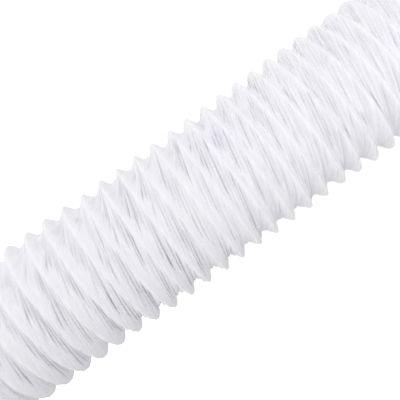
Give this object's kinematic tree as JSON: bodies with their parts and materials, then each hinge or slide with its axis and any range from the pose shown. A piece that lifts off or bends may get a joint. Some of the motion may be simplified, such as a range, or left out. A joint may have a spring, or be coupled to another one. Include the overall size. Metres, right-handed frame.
{
  "type": "flexible air duct",
  "caption": "White plastic-film flexible air duct on a spring-wire helix, drawn part way out, open at both ends; it stretches, closes up and bends.",
  "frame": {"origin": "centre of the lower cut end, on the surface that the duct stands on", "axes": "+Z along the duct's axis, from the standing end to the top end; X and Y are the two directions about which it bends"},
  "size_m": [0.104, 0.104, 0.42],
  "materials": {
    "film": "semi-gloss white film, pleated",
    "wire": "drawn spring steel"
  },
  "bodies": {
    "turn_01": {"film_turn_01": "film"},
    "coil_01": {"wire_turn_01": "wire"},
    "turn_02": {"film_turn_02": "film"},
    "coil_02": {"wire_turn_02": "wire"},
    "turn_03": {"film_turn_03": "film"},
    "coil_03": {"wire_turn_03": "wire"},
    "turn_04": {"film_turn_04": "film"},
    "coil_04": {"wire_turn_04": "wire"},
    "turn_05": {"film_turn_05": "film"},
    "coil_05": {"wire_turn_05": "wire"},
    "turn_06": {"film_turn_06": "film"},
    "coil_06": {"wire_turn_06": "wire"},
    "turn_07": {"film_turn_07": "film"},
    "coil_07": {"wire_turn_07": "wire"},
    "turn_08": {"film_turn_08": "film"},
    "coil_08": {"wire_turn_08": "wire"},
    "turn_09": {"film_turn_09": "film"},
    "coil_09": {"wire_turn_09": "wire"},
    "turn_10": {"film_turn_10": "film"},
    "coil_10": {"wire_turn_10": "wire"},
    "turn_11": {"film_turn_11": "film"},
    "coil_11": {"wire_turn_11": "wire"},
    "turn_12": {"film_turn_12": "film"},
    "coil_12": {"wire_turn_12": "wire"},
    "turn_13": {"film_turn_13": "film"},
    "coil_13": {"wire_turn_13": "wire"},
    "turn_14": {"film_turn_14": "film"},
    "coil_14": {"wire_turn_14": "wire"},
    "turn_15": {"film_turn_15": "film"},
    "coil_15": {"wire_turn_15": "wire"},
    "turn_16": {"film_turn_16": "film"},
    "coil_16": {"wire_turn_16": "wire"},
    "turn_17": {"film_turn_17": "film"},
    "coil_17": {"wire_turn_17": "wire"},
    "turn_18": {"film_turn_18": "film"},
    "coil_18": {"wire_turn_18": "wire"},
    "turn_19": {"film_turn_19": "film"},
    "coil_19": {"wire_turn_19": "wire"},
    "turn_20": {"film_turn_20": "film"},
    "coil_20": {"wire_turn_20": "wire"},
    "turn_21": {"film_turn_21": "film"},
    "coil_21": {"wire_turn_21": "wire"},
    "turn_22": {"film_turn_22": "film"},
    "coil_22": {"wire_turn_22": "wire"},
    "turn_23": {"film_turn_23": "film"},
    "coil_23": {"wire_turn_23": "wire"},
    "turn_24": {"film_turn_24": "film"},
    "coil_24": {"wire_turn_24": "wire"},
    "turn_25": {"film_turn_25": "film"},
    "coil_25": {"wire_turn_25": "wire"},
    "turn_26": {"film_turn_26": "film"},
    "coil_26": {"wire_turn_26": "wire"},
    "turn_27": {"film_turn_27": "film"},
    "coil_27": {"wire_turn_27": "wire"},
    "turn_28": {"film_turn_28": "film"},
    "coil_28": {"wire_turn_28": "wire"}
  },
  "joints": [
    {"name": "stretch_01", "type": "slide", "parent": "turn_01", "child": "coil_01", "axis": [0, 0, 1], "range_m": [-0.008, 0.0065], "deforming": ["wire_turn_01"]},
    {"name": "bend_x_01", "type": "hinge", "parent": "coil_01", "child": "turn_02", "pos_m": [0, 0, 0.01423], "axis": [1, 0, 0], "range_deg": [-4.5, 4.5]},
    {"name": "stretch_02", "type": "slide", "parent": "turn_02", "child": "coil_02", "axis": [0, 0, 1], "range_m": [-0.008, 0.0065], "deforming": ["wire_turn_02", "film_turn_02"]},
    {"name": "bend_y_02", "type": "hinge", "parent": "coil_02", "child": "turn_03", "pos_m": [0, 0, 0.03086], "axis": [0, 1, 0], "range_deg": [-4.5, 4.5]},
    {"name": "stretch_03", "type": "slide", "parent": "turn_03", "child": "coil_03", "axis": [0, 0, 1], "range_m": [-0.008, 0.0065], "deforming": ["wire_turn_03", "film_turn_03"]},
    {"name": "bend_x_03", "type": "hinge", "parent": "coil_03", "child": "turn_04", "pos_m": [0, 0, 0.04736], "axis": [1, 0, 0], "range_deg": [-4.5, 4.5]},
    {"name": "stretch_04", "type": "slide", "parent": "turn_04", "child": "coil_04", "axis": [0, 0, 1], "range_m": [-0.008, 0.0065], "deforming": ["wire_turn_04", "film_turn_04"]},
    {"name": "bend_y_04", "type": "hinge", "parent": "coil_04", "child": "turn_05", "pos_m": [0, 0, 0.06373], "axis": [0, 1, 0], "range_deg": [-4.5, 4.5]},
    {"name": "stretch_05", "type": "slide", "parent": "turn_05", "child": "coil_05", "axis": [0, 0, 1], "range_m": [-0.008, 0.0065], "deforming": ["wire_turn_05", "film_turn_05"]},
    {"name": "bend_x_05", "type": "hinge", "parent": "coil_05", "child": "turn_06", "pos_m": [0, 0, 0.07997], "axis": [1, 0, 0], "range_deg": [-4.5, 4.5]},
    {"name": "stretch_06", "type": "slide", "parent": "turn_06", "child": "coil_06", "axis": [0, 0, 1], "range_m": [-0.008, 0.0065], "deforming": ["wire_turn_06", "film_turn_06"]},
    {"name": "bend_y_06", "type": "hinge", "parent": "coil_06", "child": "turn_07", "pos_m": [0, 0, 0.09608], "axis": [0, 1, 0], "range_deg": [-4.5, 4.5]},
    {"name": "stretch_07", "type": "slide", "parent": "turn_07", "child": "coil_07", "axis": [0, 0, 1], "range_m": [-0.008, 0.0065], "deforming": ["wire_turn_07", "film_turn_07"]},
    {"name": "bend_x_07", "type": "hinge", "parent": "coil_07", "child": "turn_08", "pos_m": [0, 0, 0.11206], "axis": [1, 0, 0], "range_deg": [-4.5, 4.5]},
    {"name": "stretch_08", "type": "slide", "parent": "turn_08", "child": "coil_08", "axis": [0, 0, 1], "range_m": [-0.008, 0.0065], "deforming": ["wire_turn_08", "film_turn_08"]},
    {"name": "bend_y_08", "type": "hinge", "parent": "coil_08", "child": "turn_09", "pos_m": [0, 0, 0.12792], "axis": [0, 1, 0], "range_deg": [-4.5, 4.5]},
    {"name": "stretch_09", "type": "slide", "parent": "turn_09", "child": "coil_09", "axis": [0, 0, 1], "range_m": [-0.008, 0.0065], "deforming": ["wire_turn_09", "film_turn_09"]},
    {"name": "bend_x_09", "type": "hinge", "parent": "coil_09", "child": "turn_10", "pos_m": [0, 0, 0.14364], "axis": [1, 0, 0], "range_deg": [-4.5, 4.5]},
    {"name": "stretch_10", "type": "slide", "parent": "turn_10", "child": "coil_10", "axis": [0, 0, 1], "range_m": [-0.008, 0.0065], "deforming": ["wire_turn_10", "film_turn_10"]},
    {"name": "bend_y_10", "type": "hinge", "parent": "coil_10", "child": "turn_11", "pos_m": [0, 0, 0.15924], "axis": [0, 1, 0], "range_deg": [-4.5, 4.5]},
    {"name": "stretch_11", "type": "slide", "parent": "turn_11", "child": "coil_11", "axis": [0, 0, 1], "range_m": [-0.008, 0.0065], "deforming": ["wire_turn_11", "film_turn_11"]},
    {"name": "bend_x_11", "type": "hinge", "parent": "coil_11", "child": "turn_12", "pos_m": [0, 0, 0.17471], "axis": [1, 0, 0], "range_deg": [-4.5, 4.5]},
    {"name": "stretch_12", "type": "slide", "parent": "turn_12", "child": "coil_12", "axis": [0, 0, 1], "range_m": [-0.008, 0.0065], "deforming": ["wire_turn_12", "film_turn_12"]},
    {"name": "bend_y_12", "type": "hinge", "parent": "coil_12", "child": "turn_13", "pos_m": [0, 0, 0.19005], "axis": [0, 1, 0], "range_deg": [-4.5, 4.5]},
    {"name": "stretch_13", "type": "slide", "parent": "turn_13", "child": "coil_13", "axis": [0, 0, 1], "range_m": [-0.008, 0.0065], "deforming": ["wire_turn_13", "film_turn_13"]},
    {"name": "bend_x_13", "type": "hinge", "parent": "coil_13", "child": "turn_14", "pos_m": [0, 0, 0.20527], "axis": [1, 0, 0], "range_deg": [-4.5, 4.5]},
    {"name": "stretch_14", "type": "slide", "parent": "turn_14", "child": "coil_14", "axis": [0, 0, 1], "range_m": [-0.008, 0.0065], "deforming": ["wire_turn_14", "film_turn_14"]},
    {"name": "bend_y_14", "type": "hinge", "parent": "coil_14", "child": "turn_15", "pos_m": [0, 0, 0.22035], "axis": [0, 1, 0], "range_deg": [-4.5, 4.5]},
    {"name": "stretch_15", "type": "slide", "parent": "turn_15", "child": "coil_15", "axis": [0, 0, 1], "range_m": [-0.008, 0.0065], "deforming": ["wire_turn_15", "film_turn_15"]},
    {"name": "bend_x_15", "type": "hinge", "parent": "coil_15", "child": "turn_16", "pos_m": [0, 0, 0.2353], "axis": [1, 0, 0], "range_deg": [-4.5, 4.5]},
    {"name": "stretch_16", "type": "slide", "parent": "turn_16", "child": "coil_16", "axis": [0, 0, 1], "range_m": [-0.008, 0.0065], "deforming": ["wire_turn_16", "film_turn_16"]},
    {"name": "bend_y_16", "type": "hinge", "parent": "coil_16", "child": "turn_17", "pos_m": [0, 0, 0.25013], "axis": [0, 1, 0], "range_deg": [-4.5, 4.5]},
    {"name": "stretch_17", "type": "slide", "parent": "turn_17", "child": "coil_17", "axis": [0, 0, 1], "range_m": [-0.008, 0.0065], "deforming": ["wire_turn_17", "film_turn_17"]},
    {"name": "bend_x_17", "type": "hinge", "parent": "coil_17", "child": "turn_18", "pos_m": [0, 0, 0.26483], "axis": [1, 0, 0], "range_deg": [-4.5, 4.5]},
    {"name": "stretch_18", "type": "slide", "parent": "turn_18", "child": "coil_18", "axis": [0, 0, 1], "range_m": [-0.008, 0.0065], "deforming": ["wire_turn_18", "film_turn_18"]},
    {"name": "bend_y_18", "type": "hinge", "parent": "coil_18", "child": "turn_19", "pos_m": [0, 0, 0.2794], "axis": [0, 1, 0], "range_deg": [-4.5, 4.5]},
    {"name": "stretch_19", "type": "slide", "parent": "turn_19", "child": "coil_19", "axis": [0, 0, 1], "range_m": [-0.008, 0.0065], "deforming": ["wire_turn_19", "film_turn_19"]},
    {"name": "bend_x_19", "type": "hinge", "parent": "coil_19", "child": "turn_20", "pos_m": [0, 0, 0.29384], "axis": [1, 0, 0], "range_deg": [-4.5, 4.5]},
    {"name": "stretch_20", "type": "slide", "parent": "turn_20", "child": "coil_20", "axis": [0, 0, 1], "range_m": [-0.008, 0.0065], "deforming": ["wire_turn_20", "film_turn_20"]},
    {"name": "bend_y_20", "type": "hinge", "parent": "coil_20", "child": "turn_21", "pos_m": [0, 0, 0.30815], "axis": [0, 1, 0], "range_deg": [-4.5, 4.5]},
    {"name": "stretch_21", "type": "slide", "parent": "turn_21", "child": "coil_21", "axis": [0, 0, 1], "range_m": [-0.008, 0.0065], "deforming": ["wire_turn_21", "film_turn_21"]},
    {"name": "bend_x_21", "type": "hinge", "parent": "coil_21", "child": "turn_22", "pos_m": [0, 0, 0.32233], "axis": [1, 0, 0], "range_deg": [-4.5, 4.5]},
    {"name": "stretch_22", "type": "slide", "parent": "turn_22", "child": "coil_22", "axis": [0, 0, 1], "range_m": [-0.008, 0.0065], "deforming": ["wire_turn_22", "film_turn_22"]},
    {"name": "bend_y_22", "type": "hinge", "parent": "coil_22", "child": "turn_23", "pos_m": [0, 0, 0.33639], "axis": [0, 1, 0], "range_deg": [-4.5, 4.5]},
    {"name": "stretch_23", "type": "slide", "parent": "turn_23", "child": "coil_23", "axis": [0, 0, 1], "range_m": [-0.008, 0.0065], "deforming": ["wire_turn_23", "film_turn_23"]},
    {"name": "bend_x_23", "type": "hinge", "parent": "coil_23", "child": "turn_24", "pos_m": [0, 0, 0.35031], "axis": [1, 0, 0], "range_deg": [-4.5, 4.5]},
    {"name": "stretch_24", "type": "slide", "parent": "turn_24", "child": "coil_24", "axis": [0, 0, 1], "range_m": [-0.008, 0.0065], "deforming": ["wire_turn_24", "film_turn_24"]},
    {"name": "bend_y_24", "type": "hinge", "parent": "coil_24", "child": "turn_25", "pos_m": [0, 0, 0.36411], "axis": [0, 1, 0], "range_deg": [-4.5, 4.5]},
    {"name": "stretch_25", "type": "slide", "parent": "turn_25", "child": "coil_25", "axis": [0, 0, 1], "range_m": [-0.008, 0.0065], "deforming": ["wire_turn_25", "film_turn_25"]},
    {"name": "bend_x_25", "type": "hinge", "parent": "coil_25", "child": "turn_26", "pos_m": [0, 0, 0.37778], "axis": [1, 0, 0], "range_deg": [-4.5, 4.5]},
    {"name": "stretch_26", "type": "slide", "parent": "turn_26", "child": "coil_26", "axis": [0, 0, 1], "range_m": [-0.008, 0.0065], "deforming": ["wire_turn_26", "film_turn_26"]},
    {"name": "bend_y_26", "type": "hinge", "parent": "coil_26", "child": "turn_27", "pos_m": [0, 0, 0.39132], "axis": [0, 1, 0], "range_deg": [-4.5, 4.5]},
    {"name": "stretch_27", "type": "slide", "parent": "turn_27", "child": "coil_27", "axis": [0, 0, 1], "range_m": [-0.008, 0.0065], "deforming": ["wire_turn_27", "film_turn_27"]},
    {"name": "bend_x_27", "type": "hinge", "parent": "coil_27", "child": "turn_28", "pos_m": [0, 0, 0.40474], "axis": [1, 0, 0], "range_deg": [-4.5, 4.5]},
    {"name": "stretch_28", "type": "slide", "parent": "turn_28", "child": "coil_28", "axis": [0, 0, 1], "range_m": [-0.008, 0.0065], "deforming": ["wire_turn_28"]}
  ],
  "couplings": [
    {"joint": "stretch_02", "follows": "stretch_01", "ratio": 1},
    {"joint": "stretch_03", "follows": "stretch_01", "ratio": 1},
    {"joint": "bend_x_03", "follows": "bend_x_01", "ratio": 1},
    {"joint": "stretch_04", "follows": "stretch_01", "ratio": 1},
    {"joint": "bend_y_04", "follows": "bend_y_02", "ratio": 1},
    {"joint": "stretch_05", "follows": "stretch_01", "ratio": 1},
    {"joint": "bend_x_05", "follows": "bend_x_01", "ratio": 1},
    {"joint": "stretch_06", "follows": "stretch_01", "ratio": 1},
    {"joint": "bend_y_06", "follows": "bend_y_02", "ratio": 1},
    {"joint": "stretch_07", "follows": "stretch_01", "ratio": 1},
    {"joint": "bend_x_07", "follows": "bend_x_01", "ratio": 1},
    {"joint": "stretch_08", "follows": "stretch_01", "ratio": 1},
    {"joint": "bend_y_08", "follows": "bend_y_02", "ratio": 1},
    {"joint": "stretch_09", "follows": "stretch_01", "ratio": 1},
    {"joint": "bend_x_09", "follows": "bend_x_01", "ratio": 1},
    {"joint": "stretch_10", "follows": "stretch_01", "ratio": 1},
    {"joint": "bend_y_10", "follows": "bend_y_02", "ratio": 1},
    {"joint": "stretch_11", "follows": "stretch_01", "ratio": 1},
    {"joint": "bend_x_11", "follows": "bend_x_01", "ratio": 1},
    {"joint": "stretch_12", "follows": "stretch_01", "ratio": 1},
    {"joint": "bend_y_12", "follows": "bend_y_02", "ratio": 1},
    {"joint": "stretch_13", "follows": "stretch_01", "ratio": 1},
    {"joint": "bend_x_13", "follows": "bend_x_01", "ratio": 1},
    {"joint": "stretch_14", "follows": "stretch_01", "ratio": 1},
    {"joint": "bend_y_14", "follows": "bend_y_02", "ratio": 1},
    {"joint": "stretch_15", "follows": "stretch_01", "ratio": 1},
    {"joint": "bend_x_15", "follows": "bend_x_01", "ratio": 1},
    {"joint": "stretch_16", "follows": "stretch_01", "ratio": 1},
    {"joint": "bend_y_16", "follows": "bend_y_02", "ratio": 1},
    {"joint": "stretch_17", "follows": "stretch_01", "ratio": 1},
    {"joint": "bend_x_17", "follows": "bend_x_01", "ratio": 1},
    {"joint": "stretch_18", "follows": "stretch_01", "ratio": 1},
    {"joint": "bend_y_18", "follows": "bend_y_02", "ratio": 1},
    {"joint": "stretch_19", "follows": "stretch_01", "ratio": 1},
    {"joint": "bend_x_19", "follows": "bend_x_01", "ratio": 1},
    {"joint": "stretch_20", "follows": "stretch_01", "ratio": 1},
    {"joint": "bend_y_20", "follows": "bend_y_02", "ratio": 1},
    {"joint": "stretch_21", "follows": "stretch_01", "ratio": 1},
    {"joint": "bend_x_21", "follows": "bend_x_01", "ratio": 1},
    {"joint": "stretch_22", "follows": "stretch_01", "ratio": 1},
    {"joint": "bend_y_22", "follows": "bend_y_02", "ratio": 1},
    {"joint": "stretch_23", "follows": "stretch_01", "ratio": 1},
    {"joint": "bend_x_23", "follows": "bend_x_01", "ratio": 1},
    {"joint": "stretch_24", "follows": "stretch_01", "ratio": 1},
    {"joint": "bend_y_24", "follows": "bend_y_02", "ratio": 1},
    {"joint": "stretch_25", "follows": "stretch_01", "ratio": 1},
    {"joint": "bend_x_25", "follows": "bend_x_01", "ratio": 1},
    {"joint": "stretch_26", "follows": "stretch_01", "ratio": 1},
    {"joint": "bend_y_26", "follows": "bend_y_02", "ratio": 1},
    {"joint": "stretch_27", "follows": "stretch_01", "ratio": 1},
    {"joint": "bend_x_27", "follows": "bend_x_01", "ratio": 1},
    {"joint": "stretch_28", "follows": "stretch_01", "ratio": 1}
  ]
}
